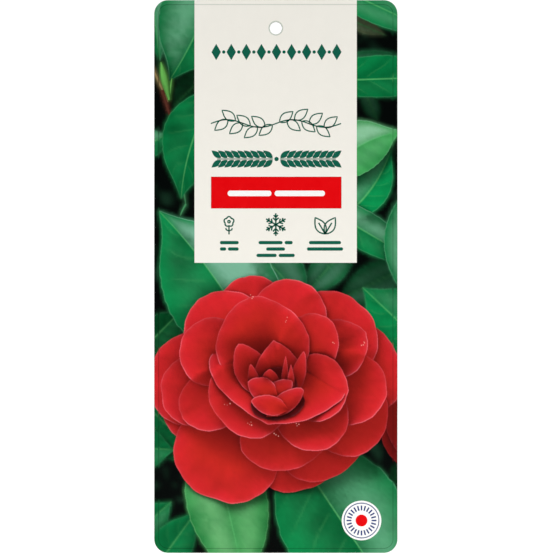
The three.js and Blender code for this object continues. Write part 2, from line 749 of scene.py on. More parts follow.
@dataclass(frozen=True)
class LeafFinish(Finish):
    """A leathery green blade with a pale midrib, faint side veins and a soft sheen on one half."""

    dark: Colour = linear((0, 88, 44))
    body: Colour = linear((8, 130, 70))
    vein: Colour = linear((84, 178, 104))
    sheen: Colour = linear((116, 180, 144))
    gloss: Point = (0.0, 0.15)  # of its left and its right half
    side_veins: int = 7

    def ink(self, look: Look) -> np.ndarray:
        """Shade the leaves.

        Args:
            look: What the probe saw of them.

        Returns:
            The ink's linear colour at each place.
        """
        side = np.abs(look.across)
        spot = (look.x + look.number * 9, look.y)
        pebble, fine, patchy = Noise(12, 1.3)(*spot), Noise(15, 0.22)(*spot), Noise(11, 8.0)(*spot)
        weave = Noise(17, 0.10)(look.along + look.number, look.across * 0.25)
        wobble = Noise(14, 0.5)(look.along + look.number * 3, look.across) * 0.3
        # the green, lighter in patches and a little between the side veins
        phase = 2 * math.pi * (look.along * self.side_veins - side * 1.1 + wobble)
        mixed = np.clip(0.15 + 0.95 * patchy + 0.25 * (weave - 0.5) + 0.12 * np.sin(phase), 0, 1)[:, None]
        colour = np.array(self.dark) + (np.array(self.body) - np.array(self.dark)) * mixed
        lateral = smooth(0.94, 1.0, np.cos(phase)) * smooth(0.02, 0.2, side) * smooth(1.0, 0.5, side) * 0.12
        midrib = smooth(0.48, 0.12, look.aside + 0.22 * look.along) * 0.8
        colour = tinted(colour, self.vein, np.clip(lateral + midrib, 0, 1)[:, None])
        shape = np.clip(look.facing @ self.SUN, 0, 1)
        light = (0.01 + 0.99 * look.open_sky ** 2.4) * (0.32 + 0.42 * look.sun + 0.46 * shape * look.sun)
        colour = colour * (light * look.tone * (0.93 + 0.14 * fine))[:, None]
        # a broken band of sheen down the middle of a half, and a line of light along the edge
        gloss = np.where(look.across > 0, *self.gloss)
        band = np.exp(-((side - 0.42) / 0.36) ** 2) * smooth(0.0, 0.25, look.along)
        band = band * smooth(1.0, 0.7, look.along)
        band = band * smooth(0.05, 0.75, 0.5 * patchy + 0.3 * pebble + 0.35 * shape)
        shine = gloss * band * (0.86 + 0.20 * fine + 0.10 * weave) * 1.3
        edge = smooth(0.32, 0.08, look.rim) * (0.14 + 0.4 * gloss)
        shine = np.clip(shine + edge, 0, 0.92) * look.open_sky ** 1.5 * (0.20 + 0.80 * look.sun) * look.tone
        return tinted(colour, self.sheen, shine[:, None])


@dataclass(frozen=True)
class BarkFinish(Finish):
    """A plain round stalk or bud in one colour."""

    body: Colour
    lit_from: Colour = (-0.4, 0.5, 0.76)

    def ink(self, look: Look) -> np.ndarray:
        """Shade the stalk across its round.

        Args:
            look: What the probe saw of it.

        Returns:
            The ink's linear colour at each place.
        """
        round_off = 0.22 + 0.90 * np.clip(look.facing @ unit(np.array(self.lit_from)), 0, 1) ** 1.6
        streak = 0.85 + 0.3 * Noise(18, 0.25)(look.across, look.along)
        return np.array(self.body) * (round_off * streak * (0.4 + 0.6 * look.open_sky))[:, None]


@dataclass
class Picture:
    """The printed picture: the relief as seen straight on, shaded into a raster of ink."""

    left: float = -35.2  # millimetres from the hole to the raster's left edge
    low: float = -151.0  # and to its lower edge
    columns: int = 704
    rows: int = 1592
    step: float = 0.1  # millimetres between two points of the raster
    sky_rays: int = 28
    sun_rays: int = 8
    focus: float = -2.5  # depth in millimetres behind which the leaves blur
    blades: list[Blade] = field(default_factory=list)
    FRONT = 90.0  # millimetres in front of the picture's plane, where the viewer's rays start
    BEHIND = -60.0  # depth of the gaps between the leaves
    LIFT = 0.06  # millimetres between a blade and the light rays that start on it
    SKY_REACH, SUN_REACH = 16.0, 60.0  # millimetres that a light ray goes
    SUN_SPREAD = 0.16  # how soft the sun's shadows are
    GOLDEN = 2.39996  # radians from one sky ray to the next, so that they spread evenly
    POLLEN_PINK = linear((248, 176, 164))
    BLURS = ((1.1, 9.0, 16.0), (2.2, 18.0, 28.0), (4.5, 30.0, 46.0))  # radius, and depths from, to
    PRINT_BLUR = 0.45  # of the whole picture, in points of the raster

    def compose(self) -> None:
        """Arrange the bloom, the leaves round it and the young shoots."""
        petal = PetalFinish()
        self.blades = [spray.blade() for spray in sorted(LEAVES, key=lambda spray: spray.depth)]
        self.blades += [shape.blade(petal, 40 + number) for number, shape in enumerate(PETALS)]
        bed = Bed()
        for blade in self.blades:
            bed.lay(blade)

    def draw(self) -> np.ndarray:
        """Probe and shade the picture.

        Returns:
            Linear colour, rows by columns by 3, from the lowest row up.
        """
        relief = Relief(self.blades)
        xs = self.left + self.step * np.arange(self.columns + 1)
        ys = self.low + self.step * np.arange(self.rows + 1)
        y, x = np.meshgrid(ys, xs, indexing="ij")
        starts = np.stack([x.ravel(), y.ravel(), np.full(x.size, self.FRONT)], axis=-1)
        ahead = np.tile([0.0, 0.0, -1.0], (len(starts), 1))
        seen = RayProbe(relief, ("facing", "patch", "edge")).cast(starts, ahead)
        met = seen["gap"] > 0
        spot = starts + ahead * seen["gap"][:, None]
        facing = unit(seen["facing"])
        facing[facing[:, 2] < 0] *= -1
        number = np.where(met, np.rint(seen["patch"][:, 2]), -1).astype(int)
        sky, sun = self._light(relief, spot, facing, number)
        drop(relief.thing)
        ink = self._backdrop(x.ravel(), y.ravel())
        tones = np.array([b.tone for b in self.blades])
        for finish in {b.finish for b in self.blades}:
            mine = np.array([b.finish == finish for b in self.blades])
            here = met & mine[np.maximum(number, 0)]
            ink[here] = finish.ink(Look(
                starts[here, 0], starts[here, 1], facing[here], seen["patch"][here, 0],
                seen["patch"][here, 1], *seen["edge"][here].T,
                number[here], tones[number[here]], sky[here], sun[here]))
        self._sprinkle(ink, starts[:, 0], starts[:, 1])
        shape = (self.rows + 1, self.columns + 1)
        depth = np.where(met, spot[:, 2], self.BEHIND).reshape(shape)
        bloom = (number >= len(LEAVES)).reshape(shape)
        return self._soften(ink.reshape(*shape, 3), depth, bloom)

    def _sprinkle(self, ink: np.ndarray, x: np.ndarray, y: np.ndarray) -> None:
        """Put a few grains of pollen on the petals.

        Args:
            ink: The picture's colours, which are changed.
            x: Millimetres right of the hole.
            y: Millimetres above it.
        """
        rng = np.random.default_rng(5)
        for middle in POLLEN:
            for _ in range(rng.integers(2, 5)):
                aside, up = np.array(middle) + rng.normal(0, 0.55, 2)
                size = rng.uniform(0.09, 0.17)
                share = smooth(size * 1.5, size * 0.6, np.hypot(x - aside, y - up)) * rng.uniform(0.4, 0.9)
                ink += (np.array(self.POLLEN_PINK) - ink) * share[:, None]

    def _light(self, relief: Relief, spot: np.ndarray, facing: np.ndarray,
               number: np.ndarray) -> tuple[np.ndarray, np.ndarray]:
        """Cast sky and sun rays from every second point and spread what they bring back.

        Args:
            relief: What casts the shadows.
            spot: The place that each point of the raster shows.
            facing: Its normal.
            number: Its blade, -1 where there is none.

        Returns:
            Open sky and sun, 0 to 1, at every point.
        """
        shape = (self.rows + 1, self.columns + 1)
        pick = np.zeros(shape, bool)
        pick[::2, ::2] = True
        pick = pick.ravel()
        coarse = (self.rows // 2 + 1, self.columns // 2 + 1)
        who = number[pick]
        there = who >= 0
        base, up = spot[pick][there], facing[pick][there]
        base = base + up * self.LIFT
        probe, rng = RayProbe(relief), np.random.default_rng(3)
        side = unit(np.cross(up, np.array([0.31, 0.92, 0.23])))  # any direction that no blade faces
        over = np.cross(up, side)
        spin = rng.random(len(base)) * 2 * math.pi
        sky, sun = np.zeros(len(base)), np.zeros(len(base))
        for ray in range(self.sky_rays):
            share = (ray + rng.random(len(base))) / self.sky_rays
            turn, out = spin + ray * self.GOLDEN, np.sqrt(share)
            aim = (side * (out * np.cos(turn))[:, None] + over * (out * np.sin(turn))[:, None] +
                   up * np.sqrt(1 - share)[:, None])
            gap = probe.cast(base, aim, self.SKY_REACH)["gap"]
            sky += np.where(gap < 0, 1.0, np.clip(gap / self.SKY_REACH, 0, 1) ** 0.8)
        for _ in range(self.sun_rays):
            aim = unit(Finish.SUN + rng.normal(0, self.SUN_SPREAD, (len(base), 3)))
            gap = probe.cast(base, aim, self.SUN_REACH)["gap"]
            sun += (gap < 0) * smooth(-0.25, 1.08, np.einsum("ij,ij->i", up, aim))
        out = []
        for total, rays in ((sky, self.sky_rays), (sun, self.sun_rays)):
            level = np.zeros(len(who))
            level[there] = total / rays
            out.append(self._spread(level.reshape(coarse), who.reshape(coarse), number.reshape(shape)))
        return out[0].ravel(), out[1].ravel()

    @staticmethod
    def _spread(level: np.ndarray, who: np.ndarray, number: np.ndarray) -> np.ndarray:
        """Smooth a coarse raster within each blade, and bring it to full size.

        Args:
            level: The coarse values.
            who: The blade at each coarse point.
            number: The blade at each full point.

        Returns:
            The full raster.
        """
        total, weight = level * 1.0, np.ones_like(level)
        for down in range(-2, 3):
            for over in range(-2, 3):
                share = math.exp(-(down * down + over * over) / 3.0)
                moved = np.roll(level, (down, over), (0, 1))
                same = (np.roll(who, (down, over), (0, 1)) == who) * share
                total += moved * same
                weight += same
        level = total / weight
        full, mass = np.zeros(number.shape), np.full(number.shape, 1e-6)
        plain = np.zeros(number.shape)
        rows, columns = np.arange(number.shape[0]), np.arange(number.shape[1])
        for down in (0, 1):
            for over in (0, 1):
                r = np.minimum((rows + down) // 2, level.shape[0] - 1)
                c = np.minimum((columns + over) // 2, level.shape[1] - 1)
                value, same = level[np.ix_(r, c)], who[np.ix_(r, c)] == number
                full += value * same
                mass += same
                plain += value / 4
        return np.where(mass > 0.5, full / mass, plain)

    @staticmethod
    def _backdrop(x: np.ndarray, y: np.ndarray) -> np.ndarray:
        """Colour the deep gaps between the leaves, with faint shapes far behind.

        Args:
            x: Millimetres right of the hole.
            y: Millimetres above it.

        Returns:
            The ink's linear colour at each place.
        """
        faint = Noise(21, 5.0)(x, y) * Noise(22, 2.2)(x, y)
        low, high = np.array(linear((1, 4, 3))), np.array(linear((24, 56, 38)))
        return low + (high - low) * (smooth(0.30, 0.75, faint) * 0.6)[:, None]

    def _soften(self, ink: np.ndarray, depth: np.ndarray, bloom: np.ndarray) -> np.ndarray:
        """Blur what lies behind the bloom, more the deeper it is.

        Args:
            ink: The picture's colours.
            depth: How far forward each place lies, in millimetres.
            bloom: Where the bloom is.

        Returns:
            The softened picture.
        """
        keep = (~bloom).astype(float)[..., None]
        out, far = ink.copy(), self.focus - depth
        for radius, start, end in self.BLURS:
            soft = blur(ink * keep, radius) / np.maximum(blur(keep, radius), 1e-4)
            share = (smooth(start, end, far) * keep[..., 0])[..., None]
            out = out * (1 - share) + soft * share
        return np.clip(blur(out, self.PRINT_BLUR), 0.0, 1.0)


def blur(image: np.ndarray, radius: float) -> np.ndarray:
    """Blur an image.

    Args:
        image: Rows by columns, with or without colours.
        radius: Of the bell that it is blurred with, in points of the image.

    Returns:
        The blurred image.
    """
    reach = int(math.ceil(radius * 2.5))
    bell = np.exp(-0.5 * (np.arange(-reach, reach + 1) / radius) ** 2)
    bell /= bell.sum()
    for axis in (0, 1):
        wide = [(reach, reach) if a == axis else (0, 0) for a in range(image.ndim)]
        padded = np.pad(image, wide, mode="edge")
        image = sum(share * np.take(padded, range(k, k + image.shape[axis]), axis=axis)
                    for k, share in enumerate(bell))
    return image


PETALS = [
    # another bloom behind, in the shade
    Petal(at(416, 450), 22, 38, climb=2, foot=at(430, 430), depth=-22, tone=0.42),
    Petal(at(409, 431), 21, 35, climb=3, foot=at(430, 420), depth=-21, tone=0.42),
    # the skirt, from the back to the front
    Petal(at(363, 368), 38, 47, climb=1, cup=2, curl=-3, roll=4, shade=1.3, foot=at(330, 385), tone=0.9),
    Petal(at(252, 310), 35, 35, climb=1, cup=1.5, curl=-3, roll=6, foot=at(268, 370)),
    Petal(at(290, 313), 32, 26, climb=0.5, cup=1, curl=-3, roll=-4, foot=at(280, 370)),
    Petal(at(195, 402), 36, 42, climb=1, cup=2, curl=-3, roll=-4, foot=at(230, 390)),
    Petal(at(190, 380), 42, 47, climb=2, cup=2.5, curl=-3, roll=6, foot=at(240, 385)),
    Petal(at(226, 333), 43, 43, climb=2, cup=2, curl=-3, roll=-5, foot=at(262, 375)),
    Petal(at(296, 463), 28, 37, climb=0.5, cup=1, curl=-3, roll=-3, blunt=0.3, foot=at(285, 410)),
    Petal(at(332, 336), 43, 49, climb=3, cup=3, curl=-2, roll=-5, shade=1.3, foot=at(285, 385)),
    Petal(at(288, 322), 43, 38, climb=4, cup=2, curl=-2, roll=4, foot=at(275, 390)),
    Petal(at(325, 440), 37, 48, climb=1, cup=2, curl=-2.5, roll=4, shade=1.4, foot=at(285, 400)),
    Petal(at(350, 415), 38, 42, climb=3, cup=2.5, curl=-2, roll=5, shade=1.4, foot=at(290, 395)),
    Petal(at(228, 452), 50, 54, climb=2, cup=2, curl=-3, roll=5, shade=1.6, foot=at(243, 402)),
    Petal(at(350, 388), 37, 37, climb=7, cup=5, curl=1, roll=-8, shade=1.4, foot=at(300, 390)),
    # the middle rows
    Petal(at(200, 390), 40, 36, climb=5, cup=3, curl=-1, roll=4, shade=1.2, foot=at(262, 380)),
    Petal(at(213, 400), 36, 30, climb=8, cup=4, curl=0, roll=6, foot=at(262, 376)),
    Petal(at(213, 352), 34, 35, climb=8, cup=3, curl=-1, roll=-6, shade=1.3, foot=at(262, 376)),
    Petal(at(338, 348), 31, 30, climb=8, cup=4.5, curl=0.5, roll=5, point=0.15, shade=1.5,
          foot=at(295, 372)),
    Petal(at(283, 438), 33, 44, climb=6, cup=3, curl=-1.5, roll=-4, shade=1.4, foot=at(280, 405)),
    Petal(at(312, 415), 37, 36, climb=11, cup=4, curl=0, roll=6, shade=1.2, foot=at(280, 395)),
    Petal(at(248, 398), 35, 42, climb=14, cup=4, curl=0, roll=4, blunt=0.3, foot=at(272, 378)),
    Petal(at(308, 350), 38, 29, climb=16, cup=3.5, curl=0, roll=-5, shade=1.3, foot=at(292, 392)),
    Petal(at(316, 388), 32, 34, climb=14, cup=4, curl=0, roll=5, foot=at(285, 385)),
    Petal(at(262, 345), 50, 47, climb=15, cup=3, curl=-0.5, roll=4, point=0.25, shade=1.8,
          foot=at(270, 385)),
    # the bowl round the heart, whose sides run into the petals behind it
    Petal(at(278, 378), 46, 70, climb=16, cup=1.5, curl=0.5, point=0.42, spread=112, sunk=0.3,
          shade=1.45, foot=at(282, 358)),
    # the heart's crown
    Petal(at(251, 369), 28, 17, climb=14, cup=3, curl=0, point=0.5, shade=1.4, foot=at(268, 404)),
    Petal(at(278, 370), 29, 24, climb=15, cup=3, point=0.6, shade=1.9, foot=at(283, 404)),
    Petal(at(299, 373), 22, 7, climb=17, cup=2, point=0.6, foot=at(292, 404)),
    Petal(at(277, 384), 17, 21, climb=8, cup=1, point=0.5, shade=2, foot=at(276, 404), tone=0.3),
    Petal(at(254, 381), 17, 6, climb=16, cup=2, point=0.5, foot=at(258, 400)),
    Petal(at(285, 375), 19, 3.6, climb=17, cup=1, point=0.9, spread=110, foot=at(284, 402)),
    Petal(at(291, 380), 16, 3.6, climb=16, cup=1, point=0.9, spread=110, foot=at(291, 404)),
    Petal(at(270, 381), 12, 9.5, climb=17, cup=-1.5, point=0.5, foot=at(271, 402)),
    # its shadow and its lips
    Petal(at(278, 403), 17, 27, climb=0, cup=-1, foot=at(275, 385), depth=6, tone=0.14),
    Petal(at(280, 390), 15, 10, climb=-2, cup=-1.2, point=0.45, foot=at(266, 400), depth=8.5, tone=0.80),
    Petal(at(262, 389), 16, 12, climb=-2, cup=-1.2, point=0.40, foot=at(278, 398), depth=9.0, tone=0.84),
    Petal(at(286, 402), 22, 10, climb=-2, cup=-1.2, point=0.30, foot=at(266, 417), depth=10.5, tone=0.86),
    Petal(at(269, 405), 18, 10, climb=-2, cup=-1.2, point=0.35, foot=at(289, 410), depth=11, tone=0.90),
]

POLLEN = [at(227, 404), at(250, 422), at(278, 434), at(297, 422), at(333, 345), at(364, 343),
          at(253, 296), at(287, 321)]

FRESH_LEAF = LeafFinish(dark=linear((28, 122, 58)), body=linear((64, 158, 84)),
                        sheen=linear((128, 192, 132)), gloss=(0.3, 0.45))
DEEP_LEAF = LeafFinish(dark=linear((0, 46, 22)), body=linear((2, 98, 48)), gloss=(0.0, 0.04))
PLAIN_LEAF = LeafFinish(gloss=(0.0, 0.02))
LEFT_SHEEN, RIGHT_SHEEN = LeafFinish(gloss=(0.7, 0.04)), LeafFinish(gloss=(0.04, 0.55))
FRESH_SHEEN = replace(FRESH_LEAF, sheen=linear((150, 205, 168)), gloss=(0.8, 0.1))
OLIVE_LEAF = LeafFinish(dark=linear((62, 56, 30)), body=linear((104, 108, 72)), gloss=(0.2, 0.3))
PALE_SHEEN = LeafFinish(sheen=linear((134, 190, 164)), gloss=(0.04, 1.0))
DULL_LEAF = LeafFinish(sheen=linear((98, 140, 122)), gloss=(0.6, 0.5))
BUD, PETIOLE = BarkFinish(linear((104, 180, 84))), BarkFinish(linear((74, 150, 98)))

LEAVES = [
    # left of the panel, from the top down
    Leaf(at(222, -48), at(169, 81), 25, -13, RIGHT_SHEEN, roll=-10, arch=4, sweep=2),
    Leaf(at(146, -50), at(160, 62), 13, -20, LEFT_SHEEN, roll=6, tone=1.15),
    Leaf(at(214, 66), at(172, 108), 9, -32, DEEP_LEAF, tone=0.35),
    Leaf(at(222, 84), at(181, 200), 18, -11, PLAIN_LEAF, roll=-16, sweep=-2.5, lean=-6),
    Leaf(at(136, 152), at(167, 134), 8, -19, LEFT_SHEEN, roll=10, tone=0.9),
    Leaf(at(268, 372), at(158, 210), 32, -15, PALE_SHEEN, roll=8, fold=17, arch=3, sweep=-2.5,
         tone=1.05),
    Stem(at(182, 176), at(186, 206), -15, 0.28, PETIOLE),
    Stem(at(186, 204), at(180, 216), -15, 0.30, PETIOLE),
    Stem(at(150, 62), at(168, 102), -13, 0.38, BarkFinish(linear((156, 134, 88)))),
    Stem(at(162, 90), at(173, 124), -13, 0.48, BarkFinish(linear((96, 52, 40)))),
    Stem(at(169, 98), at(161, 62), -9, 0.40, BUD, swell=0.7),
    Stem(at(169, 100), at(172, 78), -10, 0.30, BUD),
    # between the panel and the bloom
    Leaf(at(240, 232), at(310, 306), 17, -20, DULL_LEAF, roll=-14, tone=0.80),
    Leaf(at(356, 236), at(302, 298), 10, -25, DULL_LEAF, roll=10, tone=0.55),
    Leaf(at(418, 262), at(334, 302), 12, -29, DULL_LEAF, roll=16, tone=0.42),
    # left of the bloom
    Leaf(at(136, 356), at(182, 310), 12, -24, DEEP_LEAF, roll=-20, tone=0.8),
    Leaf(at(206, 462), at(136, 396), 15, -22, PLAIN_LEAF, roll=12, tone=0.7),
    Leaf(at(112, 446), at(175, 450), 13, -20, LeafFinish(), roll=-12, tone=0.95),
    Leaf(at(126, 542), at(172, 501), 9.5, -24, LeafFinish(), roll=-10, tone=0.95),
    Leaf(at(138, 592), at(198, 509), 13, -20, PLAIN_LEAF, roll=-10, tone=0.85),
    # right of the panel, from the top down
    Leaf(at(300, -30), at(450, 40), 11, -14, LeafFinish(gloss=(0.2, 0.2)), roll=18, tone=0.95),
    Leaf(at(338, 14), at(387, 36), 4.5, -20, OLIVE_LEAF, roll=10, tone=0.9),
    Leaf(at(325, 66), at(430, 70), 10, -20, DULL_LEAF, roll=10, tone=0.45),
    Leaf(at(296, 82), at(470, 76), 13.6, -10, PLAIN_LEAF, roll=30, fold=22),
    Leaf(at(364, 90), at(378, 122), 4.5, -34, DULL_LEAF, tone=0.35),
    Leaf(at(322, 179), at(403, 131), 15.4, -11, FRESH_SHEEN, roll=10, arch=2.5, sweep=2.7),
    Leaf(at(336, 222), at(392, 146), 11, -12, LeafFinish(gloss=(0.3, 0.0)), roll=12, sweep=-2.5, tone=1.25),
    Leaf(at(300, 193), at(432, 271), 11, -12, LEFT_SHEEN, roll=12),
    Leaf(at(403, 292), at(410, 180), 12.5, -9, LeafFinish(gloss=(0.45, 0.0)), roll=6),
    # right of the bloom
    Leaf(at(446, 366), at(362, 287), 21, -18, LeafFinish(), roll=-14, tone=1.05),
    # below the bloom
    Leaf(at(207, 418), at(248, 594), 23, -14, FRESH_LEAF, roll=6, arch=2),
    Leaf(at(287, 440), at(402, 611), 36, -17, LeafFinish(gloss=(0.45, 0.03)), roll=10, arch=4, tone=1.04),
    Leaf(at(424, 440), at(392, 520), 12, -28, DEEP_LEAF, roll=18, tone=0.6),
]


# ------------------------------------------------------------------ finishes of the solid pieces
def shader(name: str) -> tuple[bpy.types.Material, Graph]:
    """Make an empty node material.

    Args:
        name: Its name.

    Returns:
        The material and the graph to fill it with.
    """
    material = bpy.data.materials.new(name)
    material.use_nodes = True
    return material, Graph(material.node_tree)


def surface(graph: Graph, colour: Given, roughness: Given, specular: float, grain: float) -> None:
    """End a material in a satin plastic surface with a very fine unevenness.

    Args:
        graph: The material's graph.
        colour: Its base colour.
        roughness: Its roughness.
        specular: Its specular level.
        grain: Depth of the unevenness in millimetres.
    """
    place = graph.place()
    rough, peel = graph.noise(place, 3200.0, 2.0, 0.6), graph.noise(place, 420.0, 1.0, 0.4)
    bump = graph.node("ShaderNodeBump", None, {"Strength": 0.35, "Distance": grain * MM,
                                               "Height": rough * 0.35 + peel * 0.65})
    skin = graph.node("ShaderNodeBsdfPrincipled", None, {
        "Base Color": colour, "Roughness": roughness, "Specular IOR Level": specular, "Normal": bump})
    graph.node("ShaderNodeOutputMaterial", None, {"Surface": skin})


@dataclass(frozen=True)
class PicturePrint:
    """The picture's inks, which the sheet's front carries at its vertices."""

    name: str = "picture_print"
    density: float = 1.0  # below 1 where a trim line darkens the print
    roughness: float = 0.40

    def material(self) -> bpy.types.Material:
        """Build the material.

        Returns:
            The material, new each time.
        """
        material, graph = shader(self.name)
        ink = graph.node("ShaderNodeVertexColor", {"layer_name": Sheet.INK})
        grain = graph.noise(graph.place(), 5200.0, 1.0)
        level = (grain * 0.10 + 0.95) * self.density
        shade = graph.node("ShaderNodeCombineColor", None, {0: level, 1: level, 2: level})
        colour = graph.node("ShaderNodeMix", {"data_type": "RGBA", "blend_type": "MULTIPLY"},
                            {"Factor": 1.0, "A": ink, "B": shade})
        surface(graph, colour, grain * 0.06 + (self.roughness - 0.03), 0.04, 0.004)
        return material


@dataclass(frozen=True)
class SpotInk:
    """One flat ink, with the slight mottle that a solid print has."""

    name: str
    colour: Colour  # display values, 0 to 255
    roughness: float = 0.42
    mottle: float = 0.03

    def material(self) -> bpy.types.Material:
        """Build the material.

        Returns:
            The material, new each time.
        """
        material, graph = shader(self.name)
        cloud = graph.noise(graph.place(), 260.0, 4.0, 0.65)
        body = linear(self.colour)
        thin = tuple(min(1.0, c * (1 + self.mottle) + self.mottle * 0.12) for c in body)
        dense = tuple(c * (1 - self.mottle) for c in body)
        colour = graph.node("ShaderNodeValToRGB", {"stops": [(0.30, dense), (0.70, thin)]}, {"Fac": cloud})
        surface(graph, colour, cloud * 0.08 + (self.roughness - 0.04), 0.05, 0.004)
        return material


@dataclass(frozen=True)
class WhitePlastic:
    """Solid-dyed white plastic, satin, with faint calender streaks along its length."""

    name: str = "white_plastic"
    dull: Colour = (229, 230, 226)  # display values, 0 to 255
    clear: Colour = (235, 236, 232)
    roughness: float = 0.46

    def material(self) -> bpy.types.Material:
        """Build the material.

        Returns:
            The material, new each time.
        """
        material, graph = shader(self.name)
        place = graph.place()
        drawn = graph.node("ShaderNodeMapping", None, {"Vector": place, "Scale": (1.0, 1.0, 0.03)})
        streak, cloud = graph.noise(drawn, 1500.0, 3.0, 0.6), graph.noise(place, 60.0, 3.0)
        mixed = streak * 0.35 + cloud * 0.65
        colour = graph.node("ShaderNodeValToRGB", {"stops": [
            (0.30, linear(self.dull)), (0.70, linear(self.clear))]}, {"Fac": mixed})
        surface(graph, colour, streak * 0.05 + (self.roughness - 0.03), 0.40, 0.010)
        return material


# the cut edge and the hole's wall: the same white plastic, rougher as a cut edge is, and painted darker as
# painted shade so the thin edge stands out from the white surround
SHADED_CUT_PLASTIC = WhitePlastic("cut_plastic_edge_painted_shade", (198, 199, 194), (212, 213, 208), 0.58)
CREAM_INK = SpotInk("cream_ink", (240, 237, 228), mottle=0.008)
CREAM_LINE_INK = SpotInk("cream_line_ink", (199, 205, 193))
RED_INK = SpotInk("red_ink", (225, 3, 10), mottle=0.015)
RED_EDGE_INK = SpotInk("red_edge_ink", (176, 14, 20))
GREEN_INK = SpotInk("green_ink", (14, 92, 72))
WHITE_INK = SpotInk("white_ink", (246, 246, 244), mottle=0.01)
NAVY_INK = SpotInk("navy_ink", (44, 60, 118))


# ------------------------------------------------------------------ the sheet and its films
class Layer(Enum):
    """How deep each layer of the label runs: its back and front, in millimetres along Y."""

    SHEET = (0.25, -0.226)
    GROUND = (-0.224, -0.234)
    MIDDLE = (-0.232, -0.242)
    OVERPRINT = (-0.240, -0.2495)

    @property
    def back(self) -> float:
        """Return where the layer's back lies."""
        return self.value[0]

    @property
    def front(self) -> float:
        """Return where the layer's front lies."""
        return self.value[1]


def triangulate(loops: Sequence[np.ndarray], extra: np.ndarray) -> tuple[np.ndarray, np.ndarray, list[int]]:
    """Join loops and loose points into triangles.

    Args:
        loops: Closed loops of points, whose edges are kept.
        extra: Further points.

    Returns:
        The points, the triangles, and where each given point went.
    """
    points, edges, start = [*loops, extra], [], 0
    for loop in loops:
        count = len(loop)
        edges += [(start + i, start + (i + 1) % count) for i in range(count)]
        start += count
    flat = np.concatenate(points)
    out = delaunay_2d_cdt([Vector(p) for p in flat.tolist()], edges, [], 0, 1e-6, True)
    went = [0] * len(flat)
    for place, given in enumerate(out[3]):
        for number in given:
            went[number] = place
    spots = np.array([tuple(p) for p in out[0]])
    faces = np.array([f for f in out[2]], int)
    a, b, c = (spots[faces[:, k]] for k in range(3))
    area = (b[:, 0] - a[:, 0]) * (c[:, 1] - a[:, 1]) - (b[:, 1] - a[:, 1]) * (c[:, 0] - a[:, 0])
    faces[area < 0] = faces[area < 0][:, ::-1]
    return spots, faces[np.abs(area) > 1e-9], went


def inside(points: np.ndarray, loops: Sequence[np.ndarray]) -> np.ndarray:
    """Tell which points lie inside an odd number of loops.

    Args:
        points: The points.
        loops: Closed loops of points.

    Returns:
        True or False for each point.
    """
    odd = np.zeros(len(points), bool)
    for loop in loops:
        for (x0, y0), (x1, y1) in zip(loop, np.roll(loop, -1, axis=0)):
            if y0 != y1:
                cuts = (points[:, 1] < y0) != (points[:, 1] < y1)
                reach = x0 + (points[:, 1] - y0) / (y1 - y0) * (x1 - x0)
                odd ^= cuts & (points[:, 0] < reach)
    return odd


def arc(middle: Point, radius: float, start: float, end: float, steps: int) -> np.ndarray:
    """Return points along an arc, from one angle to another in degrees."""
    turn = np.radians(np.linspace(start, end, steps + 1))
    return np.stack([middle[0] + radius * np.cos(turn), middle[1] + radius * np.sin(turn)], axis=-1)


def circle(middle: Point, radius: float, steps: int) -> np.ndarray:
    """Return an anticlockwise circle."""
    return arc(middle, radius, 0, 360, steps)[:-1]


def rectangle(left: float, low: float, right: float, high: float, radius: float = 0.0,
              bends: int = 10, steps: int = 1) -> np.ndarray:
    """Return an anticlockwise rectangle, with round corners if a radius is given.

    Args:
        left, low, right, high: Its sides in millimetres.
        radius: Of its corners.
        bends: Steps round each corner.
        steps: Steps along each straight side.

    Returns:
        Its points.
    """
    middles = [(left + radius, low + radius), (right - radius, low + radius),
               (right - radius, high - radius), (left + radius, high - radius)]
    corners = [arc(m, radius, 180 + 90 * k, 270 + 90 * k, bends if radius else 0)
               for k, m in enumerate(middles)]
    out = []
    for corner, after in zip(corners, corners[1:] + corners[:1]):
        share = np.linspace(0, 1, steps + 1)[1:-1, None]
        out += [corner, corner[-1] * (1 - share) + after[0] * share]
    return np.concatenate(out)


def film(name: str, loops: Sequence[np.ndarray], layer: Layer, ink: SpotInk) -> bpy.types.Object:
    """Lay a thin closed film of one ink over an outline and its holes.

    Args:
        name: The piece's name.
        loops: The outline and its holes, in millimetres.
        layer: How deep it runs.
        ink: Its finish.

    Returns:
        The film.
    """
    spots, faces, went = triangulate(loops, np.zeros((0, 2)))
    faces = faces[inside(spots[faces].mean(axis=1), loops)]
    count = len(spots)
    front = np.insert(spots, 1, layer.front, axis=1)
    back = np.insert(spots, 1, layer.back, axis=1)
    walls, start = [], 0
    for loop in loops:
        ring = [went[start + k] for k in range(len(loop))]
        start += len(loop)
        x, y = loop[:, 0], loop[:, 1]
        anticlockwise = np.dot(x, np.roll(y, -1)) > np.dot(y, np.roll(x, -1))
        hole = loop is not loops[0] and inside(loop[:1] + 1e-4, loops[:1])[0]
        if anticlockwise == hole:
            ring.reverse()
        walls += [(a, a + count, b + count, b) for a, b in zip(ring, ring[1:] + ring[:1])]
    every = [tuple(f) for f in faces] + [tuple(f[::-1] + count) for f in faces] + walls
    piece = mesh_object(name, np.concatenate([front, back]) * MM, every)
    piece.data.materials.append(ink.material())
    return piece


